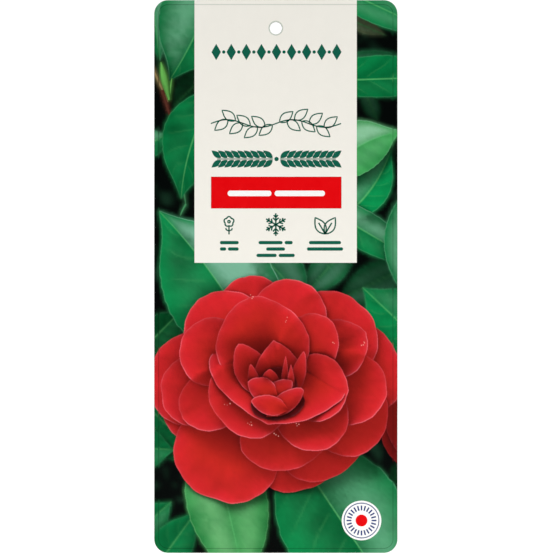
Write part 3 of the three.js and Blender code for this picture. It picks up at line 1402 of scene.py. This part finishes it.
@dataclass
class Sheet:
    """The die-cut plastic sheet: picture on its front, plain white on its back, and on its edges the same
    white plastic, rougher and painted darker as painted shade.
    """

    width: float = 70.0
    height: float = LABEL_HEIGHT
    corner: float = 4.0  # radius
    hole: float = 3.5  # diameter
    edge_break: float = 0.05  # how far its edges are rounded
    trim_inset: float = 1.24  # from the edge to the fine trim line
    trim_width: float = 0.17
    trim_density: float = 0.52  # how dark the print is on that line
    panel_left: float = at(194.5, 0)[0]
    panel_right: float = at(356.8, 0)[0]
    panel_low: float = at(0, 262.8)[1]
    budget: int = 90000  # vertices on the front
    INK = "ink"
    PRINT, TRIM, PLAIN, CUT = range(4)  # the places of its materials
    EDGE = ((0.3, 0.06), (0.0, 1.0), (0.0, -1.0), (0.3, -0.06), (1.0, 0.0))  # in and back, by edge_break
    CELLS = (8, 4, 2, 1)  # points of the picture's raster between two points of the front

    def outline(self, inset: float, steps: int = 60) -> np.ndarray:
        """Return the sheet's outline.

        Args:
            inset: How far it is drawn in, in millimetres.
            steps: Steps along each straight side.

        Returns:
            Its points, anticlockwise.
        """
        side, top = self.width / 2 - inset, HOLE_BELOW_TOP - inset
        return rectangle(-side, HOLE_BELOW_TOP - self.height + inset, side, top,
                         self.corner - inset, 12, steps)

    def punched(self, inset: float) -> np.ndarray:
        """Return the hole's outline, widened by an inset, clockwise."""
        return arc((0, 0), self.hole / 2 + inset, 360, 0, 48)[:-1]

    def build(self, picture: "Picture") -> bpy.types.Object:
        """Make the sheet.

        Args:
            picture: What its front shows.

        Returns:
            The closed sheet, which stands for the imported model's node.
        """
        # the printed front
        ink = picture.draw()
        trims = [self.outline(self.trim_inset, 90), self.outline(self.trim_inset + self.trim_width, 90)]
        loops = [self.outline(self.edge_break), self.punched(self.edge_break), *trims]
        spots, faces, went = triangulate(loops, self._spread(ink, picture))
        middles = spots[faces].mean(axis=1)
        keep = inside(middles, loops[:1]) & (np.hypot(*middles.T) > self.hole / 2 + 0.02)
        faces, middles = faces[keep], middles[keep]
        trim = inside(middles, trims[:1]) & ~inside(middles, trims[1:])
        vertices = [np.insert(spots, 1, Layer.SHEET.front, axis=1)]
        every, kinds = [faces], [np.where(trim, self.TRIM, self.PRINT)]
        # the edge and the wall of the hole, ring by ring from the front to the back
        rims, count = [], len(spots)
        for shape, first in ((self.outline, 0), (self.punched, len(loops[0]))):
            size = len(shape(0.0))
            ring = np.array([went[first + k] for k in range(size)])
            for inset, depth in self.EDGE:
                y = (Layer.SHEET.front if depth > 0 else Layer.SHEET.back) + depth * self.edge_break
                flat = shape(inset * self.edge_break)
                vertices.append(np.insert(flat, 1, y, axis=1))
                after = count + np.arange(size)
                every.append(np.stack([ring, after, np.roll(after, -1), np.roll(ring, -1)], axis=-1))
                # these edge faces take the plastic that is painted darker as painted shade
                kinds.append(np.full(size, self.CUT))
                ring, count = after, count + size
            rims.append((ring, flat))
        # the plain back
        back, back_faces, back_went = triangulate([rim[1] for rim in rims], np.zeros((0, 2)))
        middles = back[back_faces].mean(axis=1)
        back_faces = back_faces[np.hypot(*middles.T) > self.hole / 2 + 0.02]
        where = np.zeros(len(back), int)
        where[np.array(back_went)] = np.concatenate([rim[0] for rim in rims])
        every.append(where[back_faces][:, ::-1])
        kinds.append(np.full(len(back_faces), self.PLAIN))
        # all of it as one closed mesh
        faces = [tuple(f) for part in every for f in part]
        places = np.concatenate(vertices)
        sheet = mesh_object("printed_sheet", places * MM, faces)
        # the last finish is the edge plastic, painted darker as painted shade
        for finish in (PicturePrint(), PicturePrint("picture_print_trim", self.trim_density),
                       WhitePlastic(), SHADED_CUT_PLASTIC):
            sheet.data.materials.append(finish.material())
        sheet.data.polygons.foreach_set("material_index", np.concatenate(kinds).astype(np.int32))
        self._colour(sheet, ink, picture, places)
        return sheet

    def _spread(self, ink: np.ndarray, picture: "Picture") -> np.ndarray:
        """Spread the front's points: close together where the picture has detail.

        Args:
            ink: The picture.
            picture: Where its raster lies.

        Returns:
            The points, clear of the edge, the hole and the trim line.
        """
        shown = np.clip(ink, 0, 1) ** (1 / 2.2)
        xs = picture.left + picture.step * np.arange(ink.shape[1])
        ys = picture.low + picture.step * np.arange(ink.shape[0])
        hidden = ((ys[:, None] > self.panel_low + 0.4) & (xs > self.panel_left + 0.4) &
                  (xs < self.panel_right - 0.4))
        errors = []
        for size in self.CELLS[:-1]:
            corner = shown[::size, ::size]
            a, b, c, d = corner[:-1, :-1], corner[1:, :-1], corner[:-1, 1:], corner[1:, 1:]
            worst = np.zeros(a.shape[:2])
            for down in range(0, size + 1, max(1, size // 4)):
                for over in range(0, size + 1, max(1, size // 4)):
                    u, v = down / size, over / size
                    guess = (a * (1 - u) + b * u) * (1 - v) + (c * (1 - u) + d * u) * v
                    there = tuple(slice(first, first + size * (cells - 1) + 1, size)
                                  for first, cells in zip((down, over), a.shape))
                    gap = np.abs(shown[there] - guess).max(axis=2)
                    gap[hidden[there]] = 0
                    worst = np.maximum(worst, gap)
            errors.append(worst)
        low, high = 0.0, 1.0
        for _ in range(12):
            limit = (low + high) / 2
            used = self._corners(errors, limit, shown.shape[:2])
            low, high = (low, limit) if used.sum() < self.budget else (limit, high)
        rows, columns = np.nonzero(self._corners(errors, high, shown.shape[:2]))
        points = np.stack([xs[columns], ys[rows]], axis=-1)
        side, low_edge = self.width / 2, HOLE_BELOW_TOP - self.height
        reach = np.minimum(side - np.abs(points[:, 0]),
                           np.minimum(HOLE_BELOW_TOP - points[:, 1], points[:, 1] - low_edge))
        level = HOLE_BELOW_TOP - self.height / 2
        round_off = np.stack([np.abs(points[:, 0]) - (side - self.corner),
                              np.abs(points[:, 1] - level) - (self.height / 2 - self.corner)], axis=-1)
        bend = (round_off > 0).all(axis=1)
        reach[bend] = self.corner - np.hypot(*round_off[bend].T)
        clear = reach > self.edge_break + 0.07
        for line in (self.trim_inset, self.trim_inset + self.trim_width):
            clear &= np.abs(reach - line) > 0.05
        return points[clear & (np.hypot(*points.T) > self.hole / 2 + 0.15)]

    def _corners(self, errors: list[np.ndarray], limit: float, shape: tuple[int, int]) -> np.ndarray:
        """Mark the corners of all cells that are kept at an error limit.

        Args:
            errors: How wrong the colours inside each cell are, for each size that is split.
            limit: Above which a cell is split into four.
            shape: Rows and columns of the raster.

        Returns:
            The raster, True at the corners.
        """
        used = np.zeros(shape, bool)
        used[::self.CELLS[0], ::self.CELLS[0]] = True
        split = errors[0] > limit
        for size, error in zip(self.CELLS[1:], [*errors[1:], None]):
            wide = np.repeat(np.repeat(split, 2, axis=0), 2, axis=1)
            rows, columns = np.nonzero(wide)
            for down in (0, size):
                for over in (0, size):
                    used[rows * size + down, columns * size + over] = True
            if error is not None:
                split = wide & (error > limit)
        return used

    def _colour(self, sheet: bpy.types.Object, ink: np.ndarray, picture: "Picture",
                places: np.ndarray) -> None:
        """Give every vertex of the front the picture's colour there.

        Args:
            sheet: The sheet.
            ink: The picture.
            picture: Where its raster lies.
            places: The sheet's vertices in millimetres.
        """
        u = (places[:, 0] - picture.left) / picture.step
        v = (places[:, 2] - picture.low) / picture.step
        i, j = np.clip(v.astype(int), 0, picture.rows - 1), np.clip(u.astype(int), 0, picture.columns - 1)
        b, a = (v - i)[:, None], (u - j)[:, None]
        colour = ((ink[i, j] * (1 - a) + ink[i, j + 1] * a) * (1 - b) +
                  (ink[i + 1, j] * (1 - a) + ink[i + 1, j + 1] * a) * b)
        layer = sheet.data.color_attributes.new(self.INK, "FLOAT_COLOR", "POINT")
        layer.data.foreach_set("color", np.insert(colour, 3, 1.0, axis=1).astype(np.float32).ravel())
        sheet.data.color_attributes.active_color = layer


@dataclass
class Panel:
    """The cream ground in the label's upper half, with its trim line and its red banner."""

    sheet: Sheet
    banner_low: float = at(0, 208.0)[1]
    banner_high: float = at(0, 177.2)[1]
    banner_left: float = at(211.5, 0)[0]
    banner_right: float = at(341.0, 0)[0]
    rim: float = 0.14  # width of the banner's darker edge
    ring_width: float = 0.38  # of the ring printed round the hole

    def build(self) -> list[bpy.types.Object]:
        """Lay the films.

        Returns:
            The ground, its line, the ring, the banner and the banner's edge.
        """
        sheet = self.sheet
        top = HOLE_BELOW_TOP - sheet.edge_break - 0.01
        line = HOLE_BELOW_TOP - sheet.trim_inset
        ground = rectangle(sheet.panel_left, sheet.panel_low, sheet.panel_right, top)
        trim = rectangle(sheet.panel_left, line - sheet.trim_width, sheet.panel_right, line)
        banner = rectangle(self.banner_left, self.banner_low, self.banner_right, self.banner_high)
        edge = rectangle(self.banner_left - self.rim, self.banner_low - self.rim,
                         self.banner_right + self.rim, self.banner_high + self.rim)
        hole = sheet.punched(sheet.edge_break + 0.01)
        ring = circle((0, 0), sheet.hole / 2 + self.ring_width, 48)
        return [film("cream_panel", [ground, hole], Layer.GROUND, CREAM_INK),
                film("panel_trim_line", [trim], Layer.OVERPRINT, CREAM_LINE_INK),
                film("hole_ring", [ring, hole], Layer.OVERPRINT, CREAM_LINE_INK),
                film("banner", [banner], Layer.MIDDLE, RED_INK),
                film("banner_rim", [edge, banner[::-1]], Layer.MIDDLE, RED_EDGE_INK)]


class Pen:
    """Draws lines of ink: a Geometry Nodes tree that sweeps a flat nib along paths."""

    LAYER = Layer.OVERPRINT

    def __init__(self, ink: SpotInk, width: float, copies: int = 1) -> None:
        """Build the tree.

        Args:
            ink: The ink's finish.
            width: The nib's width in millimetres.
            copies: How many times the drawing is turned about its origin.
        """
        thick = abs(self.LAYER.front - self.LAYER.back)
        self.material = ink.material()
        tree = GeometryTree("pen_" + ink.name, {
            "Line Width": ("Float", width * MM), "Film Thickness": ("Float", thick * MM),
            "Copies": ("Int", copies), "Ink": ("Material", self.material)})
        nib = tree.node("GeometryNodeCurvePrimitiveQuadrilateral", {"mode": "RECTANGLE"},
                        {"Width": tree.size("Line Width"), "Height": tree.size("Film Thickness")})
        path = tree.node("GeometryNodeMeshToCurve", None, {"Mesh": tree.given})
        path = tree.node("GeometryNodeSetCurveNormal", {"mode": "Z_UP"}, {"Curve": path})
        swept = tree.node("GeometryNodeCurveToMesh", None,
                          {"Curve": path, "Profile Curve": nib, "Fill Caps": True})
        spots = tree.node("GeometryNodePoints", None, {"Count": tree.size("Copies")})
        number = tree.node("GeometryNodeInputIndex")
        angle = number * (2 * math.pi) / tree.size("Copies")
        turn = tree.node("ShaderNodeCombineXYZ", None, {"Z": angle})
        turned = tree.node("GeometryNodeInstanceOnPoints", None,
                           {"Points": spots, "Instance": swept, "Rotation": turn})
        real = tree.node("GeometryNodeRealizeInstances", None, {"Geometry": turned})
        tree.end(tree.node("GeometryNodeSetMaterial", None,
                           {"Geometry": real, "Material": tree.size("Ink")}))
        self.tree = tree

    def draw(self, name: str, paths: Sequence[np.ndarray], middle: Point) -> bpy.types.Object:
        """Draw paths round a place on the label.

        Args:
            name: The piece's name.
            paths: Open paths of points, or closed ones that end where they start, in millimetres.
            middle: Where their origin lies on the label.

        Returns:
            The drawing as one plain mesh.
        """
        vertices, edges = [], []
        for path in paths:
            closed = bool(np.allclose(path[0], path[-1]))
            path = path[:-1] if closed else path
            first, count = len(vertices), len(path)
            vertices += [(x * MM, y * MM, 0.0) for x, y in path]
            edges += [(first + k, first + k + 1) for k in range(count - 1)]
            edges += [(first + count - 1, first)] if closed else []
        draft = mesh_object(name + "_paths", vertices, [], edges)
        self.tree.put_on(draft)
        view = bpy.context.evaluated_depsgraph_get()
        drawn = bpy.data.meshes.new_from_object(draft.evaluated_get(view), depsgraph=view)
        drop(draft)
        flat = np.zeros(len(drawn.vertices) * 3, np.float32)
        drawn.vertices.foreach_get("co", flat)
        flat = flat.reshape(-1, 3)
        depth = (self.LAYER.front + self.LAYER.back) / 2
        upright = np.stack([flat[:, 0] + middle[0] * MM, depth * MM - flat[:, 2],
                            flat[:, 1] + middle[1] * MM], axis=-1)
        drawn.vertices.foreach_set("co", upright.astype(np.float32).ravel())
        drawn.name = name
        drawn.materials.clear()
        drawn.materials.append(self.material)
        return linked(name, drawn)


def leaf_path(base: Point, tip: Point, width: float, steps: int = 14) -> np.ndarray:
    """Return the closed outline of a small leaf.

    Args:
        base: Where its stalk would join it.
        tip: Its tip.
        width: Its width in millimetres.
        steps: Steps along each side.

    Returns:
        Its points, from its base round its tip and back to the base.
    """
    start, run, left = np.array(base), np.array(tip) - np.array(base), heading(base, tip)[2]
    s = np.linspace(0, 1, steps + 1)
    out = width / 2 * np.sin(math.pi * s ** 0.85)
    one = start + run * s[:, None] + left * out[:, None]
    two = start + run * s[:, None] - left * out[:, None]
    return np.concatenate([one, two[::-1][1:]])


@dataclass
class Pictograms:
    """Three small line drawings: a flower, a snow crystal and a pair of leaves."""

    flower: Point = at(229.0, 225.5)
    frost: Point = at(275.8, 224.6)
    leaves: Point = at(325.2, 225.4)
    line: float = 0.40  # width of its lines
    frost_line: float = 0.44

    def build(self) -> list[bpy.types.Object]:
        """Draw them.

        Returns:
            The three drawings.
        """
        pen, frost_pen = Pen(GREEN_INK, self.line), Pen(GREEN_INK, self.frost_line, copies=6)
        return [pen.draw("flower_pictogram", self._flower(), self.flower),
                frost_pen.draw("frost_pictogram", self._frost(), self.frost),
                pen.draw("leaf_pictogram", self._leaves(), self.leaves)]

    @staticmethod
    def _flower() -> list[np.ndarray]:
        """Lay out a five-petalled flower on a stem with two small leaves.

        Returns:
            Its lines, round its own middle.
        """
        turn = np.radians(np.linspace(0, 360, 61))
        radius = 1.15 + 0.30 * np.abs(np.cos(2.5 * (turn - math.pi / 2)))
        petals = np.stack([radius * np.cos(turn), 1.1 + radius * np.sin(turn)], axis=-1)
        heart = arc((0, 1.1), 0.34, 0, 360, 16)
        stem = np.array([(0.0, -0.25), (0.0, -2.55)])
        low = np.array([(-0.95, -0.75), (-0.75, -1.25), (0.0, -1.55), (0.75, -1.25), (0.95, -0.75)])
        return [petals, heart, stem, low]

    @staticmethod
    def _frost() -> list[np.ndarray]:
        """Lay out one arm of a snow crystal, which the pen turns six times.

        Returns:
            Its lines, round the crystal's middle.
        """
        arm = np.array([(0.0, 0.0), (0.0, 3.25)])
        barbs = [np.array([(side * out, foot + out), (0.0, foot), (0.0, foot - 0.01)])
                 for foot, out in ((1.15, 0.82), (2.1, 0.62)) for side in (-1, 1)]
        return [arm, *barbs]

    @staticmethod
    def _leaves() -> list[np.ndarray]:
        """Lay out a pair of leaves that grow from one foot.

        Returns:
            Their lines, round their own middle.
        """
        foot, paths = (0.0, -2.45), []
        for side in (-1, 1):
            tip = (side * 2.9, 2.25)
            paths.append(leaf_path(foot, tip, 2.9))
            paths.append(np.array([foot, (side * 1.9, 0.75)]))
        return paths


@dataclass
class Garland:
    """A waving stem with outlined leaves on both sides, drawn in one thin line."""

    middle: Point = at(276.0, 123.5)
    span: float = 37.4
    leaf_length: float = 4.9
    leaf_width: float = 2.5
    count: int = 14
    line: float = 0.34
    rise: float = 1.1  # how far the stem waves up and down
    slant: Point = (0.78, 0.62)  # how far a leaf runs along and away from the stem, by its length

    def build(self) -> bpy.types.Object:
        """Grow the garland and lay it on the panel.

        Returns:
            The garland.
        """
        x = np.linspace(-self.span / 2, self.span / 2, 73)
        wave = self.rise * np.sin(x / self.span * math.pi * 4)
        paths = [np.stack([x, wave], axis=-1)]
        along, away = (self.leaf_length * share for share in self.slant)
        reach = self.span / 2 - along
        for number in range(self.count):
            foot = reach * (2 * (number + 0.5) / self.count - 1)
            ahead, side = (1 if foot > 0 else -1), (1 if number % 2 else -1)
            base = (foot, float(np.interp(foot, x, wave)))
            paths.append(leaf_path(base, (foot + ahead * along, base[1] + side * away), self.leaf_width))
        return Pen(GREEN_INK, self.line).draw("upper_garland", paths, self.middle)


@dataclass
class Friezes:
    """Two bold rows of plain ornament, each one film: lozenges with dots, and a laurel band."""

    span: float = 37.4
    lozenge_row: Point = at(276.5, 52.0)
    lozenges: int = 9
    lozenge: Point = (1.36, 2.35)  # half width and half height
    dot: float = 0.48
    laurel_row: Point = at(276.5, 159.0)
    leaves: int = 9  # to each side of the middle
    leaf: Point = (3.5, 1.62)  # length and width
    tilt: float = 38.0  # degrees that each leaf leans away from the stem
    first: float = 1.1  # millimetres from the middle to the first leaf
    berry: float = 0.62  # radius
    stem: tuple[float, float, float] = (1.0, 1.6, 0.13)  # clear of the middle and the ends, half width
    clear: float = 0.30  # millimetres from the stem's middle line to a leaf

    def build(self) -> list[bpy.types.Object]:
        """Lay the films.

        Returns:
            The row of lozenges and the laurel band.
        """
        return [film(name, [motif + row for motif in motifs], Layer.OVERPRINT, GREEN_INK)
                for name, row, motifs in (("lozenge_frieze", self.lozenge_row, self._lozenges()),
                                          ("laurel_frieze", self.laurel_row, self._laurels()))]

    def _lozenges(self) -> list[np.ndarray]:
        """Outline the lozenges and the dots between them.

        Returns:
            One loop for each, round the row's middle.
        """
        wide, high = self.lozenge
        across = np.linspace(wide - self.span / 2, self.span / 2 - wide, self.lozenges)
        diamonds = [np.array([(x - wide, 0), (x, -high), (x + wide, 0), (x, high)]) for x in across]
        return diamonds + [circle((x, 0), self.dot, 16) for x in (across[1:] + across[:-1]) / 2]

    def _laurels(self) -> list[np.ndarray]:
        """Outline the stem, its leaves and the berry in the middle.

        Returns:
            One loop for each, round the row's middle.
        """
        (length, width), half, tilt = self.leaf, self.span / 2, math.radians(self.tilt)
        start, end, thick = self.stem
        motifs = [circle((0, 0), self.berry, 20), rectangle(end - half, -thick, -start, thick),
                  rectangle(start, -thick, half - end, thick)]
        for number in range(self.leaves):
            foot = self.first + (half - length * math.cos(tilt) - self.first) * number / (self.leaves - 1)
            for side in (-1, 1):
                for up in (-1, 1):
                    tip = (side * (foot + length * math.cos(tilt)),
                           up * (self.clear + length * math.sin(tilt)))
                    motifs.append(leaf_path((side * foot, up * self.clear), tip, width)[:-1])
        return motifs


@dataclass
class Bars:
    """Plain rounded bars in rows: green ones under the pictograms, a white pair on the banner."""

    high: float = 0.95
    banner_high: float = 1.6
    # by the middle of each row: where its bars start and end, in millimetres from there
    GREEN = {at(229.3, 242.6): [(-2.7, 2.7)], at(229.3, 249.0): [(-2.7, -0.9), (-0.4, 2.7)],
             at(275.6, 242.6): [(-4.9, 2.0), (2.6, 4.9)], at(275.6, 249.0): [(-2.7, 2.7)],
             at(275.6, 255.4): [(-5.5, 0.3), (0.9, 5.5)],
             at(325.0, 242.6): [(-4.6, 4.6)], at(325.0, 249.0): [(-5.2, 5.2)]}
    WHITE = {at(276.3, 193.4): [(-14.0, -1.4), (-0.5, 14.0)]}

    def build(self) -> list[bpy.types.Object]:
        """Lay the bars.

        Returns:
            The green bars as one film, and the white ones as another.
        """
        return [film(name, [rectangle(x + start, y - high / 2, x + end, y + high / 2, high * 0.49, 6)
                            for (x, y), bars in rows.items() for start, end in bars],
                     Layer.OVERPRINT, ink)
                for name, rows, high, ink in (("green_bars", self.GREEN, self.high, GREEN_INK),
                                              ("banner_bars", self.WHITE, self.banner_high, WHITE_INK))]


@dataclass
class Patch:
    """A plain round patch in the lower corner: navy ticks in a ring round a red dot."""

    middle: Point = at(361.5, 520.5)
    radius: float = 5.7
    dot: float = 1.7
    ticks: int = 24
    tick: Point = (2.9, 4.3)  # where each starts and ends, from the middle
    line: float = 0.42  # width of a tick
    rim: float = 0.7  # from the disc's edge to the ring

    def build(self) -> list[bpy.types.Object]:
        """Lay the disc and draw on it.

        Returns:
            The disc, its dot, its ticks and its ring.
        """
        disc, dot = (circle(self.middle, radius, 64) for radius in (self.radius, self.dot))
        tick = np.array([(0.0, self.tick[0]), (0.0, self.tick[1])])
        ring = arc((0, 0), self.radius - self.rim, 0, 360, 64)
        return [film("corner_patch", [disc], Layer.GROUND, WHITE_INK),
                film("patch_dot", [dot], Layer.OVERPRINT, RED_INK),
                Pen(NAVY_INK, self.line, copies=self.ticks).draw("patch_ticks", [tick], self.middle),
                Pen(NAVY_INK, self.line * 0.6).draw("patch_ring", [ring], self.middle)]


# ------------------------------------------------------------------ the studio
@dataclass
class Studio:
    """A pale floor, soft lights and the camera at the photograph's angle."""

    lens: float = 135.0  # focal length in millimetres
    sensor: float = 36.0
    floor_gap: float = 6.0  # millimetres under the label
    floor_reach: float = 0.55  # metres round it
    middle: Vector = Vector((0.0, 0.0, (HOLE_BELOW_TOP - LABEL_HEIGHT / 2) * MM))
    # name, degrees round the label and above the level, degrees of softness, watts a square metre
    LIGHTS = (("key_left", -52.0, 32.0, 50.0, 1.62), ("key_right", 52.0, 26.0, 50.0, 1.44),
              ("back_left", -140.0, 32.0, 50.0, 0.98), ("back_right", 140.0, 32.0, 50.0, 0.84),
              ("top", 0.0, 86.0, 60.0, 1.3))

    def build(self) -> None:
        """Set up the floor, the lights, the world and the camera."""
        self._floor()
        self._world()
        for light in self.LIGHTS:
            self._light(*light)
        self._camera()

    def _floor(self) -> None:
        """Lay the floor."""
        level = (HOLE_BELOW_TOP - LABEL_HEIGHT - self.floor_gap) * MM
        edge = circle((0, self.floor_reach * 0.4), self.floor_reach, 64)
        floor = mesh_object("studio_floor", np.insert(edge, 2, level, axis=1), [range(len(edge))])
        material, graph = shader("floor_paint")
        skin = graph.node("ShaderNodeBsdfPrincipled", None, {
            "Base Color": (0.93, 0.93, 0.93, 1.0), "Roughness": 0.9, "Specular IOR Level": 0.1})
        graph.node("ShaderNodeOutputMaterial", None, {"Surface": skin})
        floor.data.materials.append(material)

    def _world(self) -> None:
        """Show a white surround to the camera and a dimmer one to the label."""
        world = bpy.data.worlds.new("studio_world")
        world.use_nodes = True
        bpy.context.scene.world = world
        graph = Graph(world.node_tree)
        seen = graph.node("ShaderNodeLightPath", None, None, "Is Camera Ray")
        light = graph.node("ShaderNodeBackground", None,
                           {"Color": (1.0, 1.0, 1.0, 1.0), "Strength": seen * 0.95 + 0.10})
        graph.node("ShaderNodeOutputWorld", None, {"Surface": light})

    def _light(self, name: str, azimuth: float, height: float, softness: float, power: float) -> None:
        """Set one soft light far away.

        Args:
            name: Its name.
            azimuth: Degrees round the label, 0 in front of it and positive to its right.
            height: Degrees above the level.
            softness: Degrees that its diffuser spans.
            power: In watts a square metre.
        """
        turn, lift = math.radians(azimuth), math.radians(height)
        away = Vector((math.sin(turn) * math.cos(lift), -math.cos(turn) * math.cos(lift), math.sin(lift)))
        data = bpy.data.lights.new(name, "SUN")
        data.angle, data.energy = math.radians(softness), power
        light = linked(name, data)
        light.location = self.middle + away * 2.0
        light.rotation_euler = away.to_track_quat("Z", "Y").to_euler()

    def _camera(self) -> None:
        """Stand the camera straight in front, with the label filling the picture's height."""
        data = bpy.data.cameras.new("camera")
        data.lens, data.sensor_width = self.lens, self.sensor
        camera = linked("camera", data)
        distance = LABEL_HEIGHT * MM * self.lens / self.sensor
        aside = (PHOTO_SIZE / 2 - MIDDLE_COLUMN) * PITCH * MM
        camera.location = (aside, Layer.SHEET.front * MM - distance, self.middle.z)
        camera.rotation_euler = (math.pi / 2, 0.0, 0.0)
        data.clip_start, data.clip_end = 0.01, 100.0
        bpy.context.scene.camera = camera
        bpy.context.scene.view_settings.view_transform = "Standard"


def place(piece: bpy.types.Object) -> None:
    """Hang a finished piece on the label's body.

    Args:
        piece: The piece.
    """
    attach(piece, BODY)
    log.info("%s: %d faces", piece.name, len(piece.data.polygons))


def main() -> None:
    """Build the label, light it and stand the camera before it."""
    logging.basicConfig(level=logging.INFO, format="%(name)s: %(message)s")
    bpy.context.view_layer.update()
    picture = Picture()
    picture.compose()
    sheet = Sheet()
    printed = sheet.build(picture)
    place(printed)
    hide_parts(SHEET_NODE)
    pieces = Panel(sheet).build() + Pictograms().build() + Friezes().build() + Bars().build()
    for piece in [*pieces, *Patch().build(), Garland().build()]:
        place(piece)
    Studio().build()


if __name__ == "__main__":
    main()
